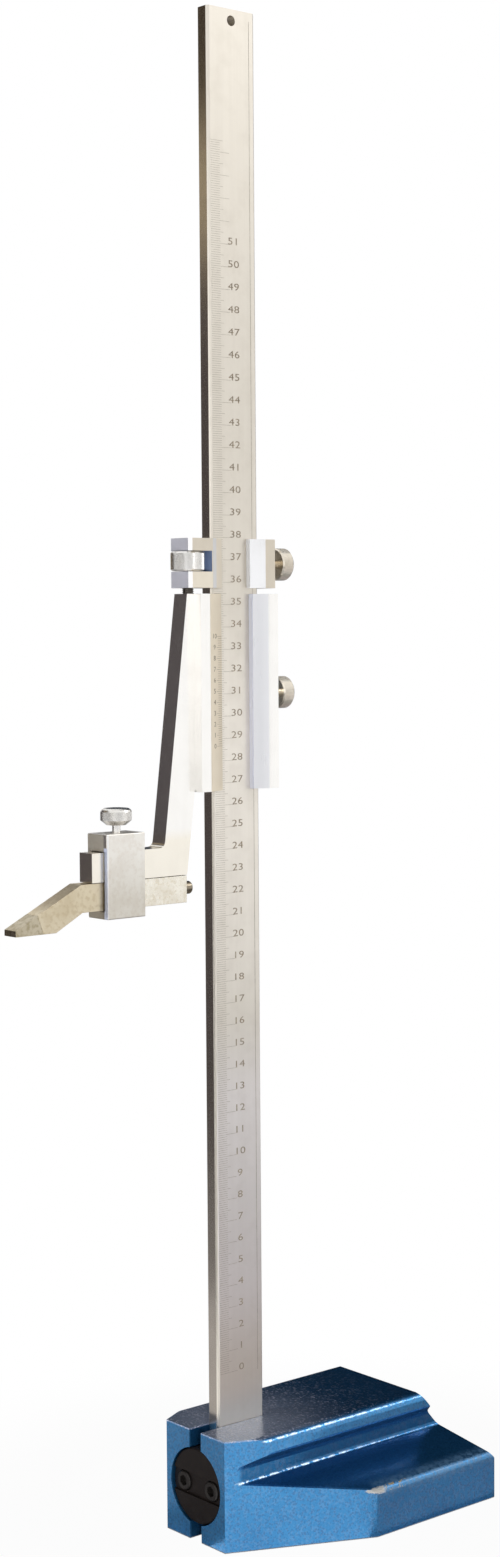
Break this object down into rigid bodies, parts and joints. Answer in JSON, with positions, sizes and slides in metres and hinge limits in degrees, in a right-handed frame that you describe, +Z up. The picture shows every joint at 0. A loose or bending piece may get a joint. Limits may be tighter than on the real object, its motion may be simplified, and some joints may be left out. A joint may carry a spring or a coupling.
{
  "type": "height gauge",
  "caption": "Vernier height gauge: painted iron base, graduated steel beam, slider with measuring arm, clamped carbide scriber and fine adjustment.",
  "frame": {"origin": "middle of the ground underside of the base, on the surface plate", "axes": "+Z up along the beam, -Y to the front where the scriber points, +X the way the graduated face looks"},
  "size_m": [0.1032, 0.2402, 0.6885],
  "materials": {
    "blue_paint": "hammertone gloss enamel",
    "satin_steel": "satin chrome on ground steel",
    "bright_steel": "ground and satin chromed",
    "knurled_steel": "diamond knurl, bright",
    "black_oxide": "black oxide",
    "spring_brass": "rolled strip",
    "carbide": "ground"
  },
  "bodies": {
    "root": {"base": "blue_paint", "beam": "satin_steel", "clamp_disc": "black_oxide", "disc_screw_left": "black_oxide", "disc_screw_right": "black_oxide"},
    "carriage": {"carriage_body": "bright_steel", "carriage_gib": "spring_brass"},
    "carriage_lock": {"carriage_lock_screw": "knurled_steel"},
    "nut": {"fine_adjust_nut": "knurled_steel"},
    "slider": {"slider_body": "bright_steel", "vernier_plate": "bright_steel", "slider_gib": "spring_brass", "slider_gib_screw_lower": "bright_steel", "slider_gib_screw_upper": "bright_steel", "fine_adjust_rod": "bright_steel"},
    "slider_lock": {"slider_lock_screw": "knurled_steel"},
    "scriber_clamp": {"clamp_frame": "bright_steel"},
    "clamp_thumb_screw": {"clamp_screw": "knurled_steel"},
    "scriber": {"scriber_bar": "bright_steel", "carbide_tip": "carbide", "scriber_pin": "black_oxide"}
  },
  "joints": [
    {"name": "carriage_slide", "type": "slide", "parent": "root", "child": "carriage", "axis": [0, 0, 1], "range_m": [-0.2832, 0.2145]},
    {"name": "carriage_lock_turn", "type": "hinge", "parent": "carriage", "child": "carriage_lock", "pos_m": [0, -0.047, 0.4436], "axis": [0, 1, 0], "range_deg": [0, 360]},
    {"name": "nut_turn", "type": "hinge", "parent": "carriage", "child": "nut", "pos_m": [0, -0.0712, 0.4444], "axis": [0, 0, 1], "range_deg": [-1040, 1040]},
    {"name": "fine_slide", "type": "slide", "parent": "carriage", "child": "slider", "axis": [0, 0, 1], "range_m": [-0.0023, 0.0023]},
    {"name": "slider_lock_turn", "type": "hinge", "parent": "slider", "child": "slider_lock", "pos_m": [0, -0.047, 0.38512], "axis": [0, 1, 0], "range_deg": [0, 360]},
    {"name": "clamp_slide", "type": "slide", "parent": "slider", "child": "scriber_clamp", "axis": [0, -1, 0], "range_m": [-0.008, 0.008]},
    {"name": "clamp_screw_turn", "type": "hinge", "parent": "scriber_clamp", "child": "clamp_thumb_screw", "pos_m": [0, -0.1124, 0.33], "axis": [0, 0, 1], "range_deg": [0, 360]},
    {"name": "scriber_slide", "type": "slide", "parent": "slider", "child": "scriber", "axis": [0, -1, 0], "range_m": [0, 0.02]}
  ],
  "couplings": [
    {"joint": "nut_turn", "follows": "fine_slide", "rad_per_m": -7854}
  ]
}
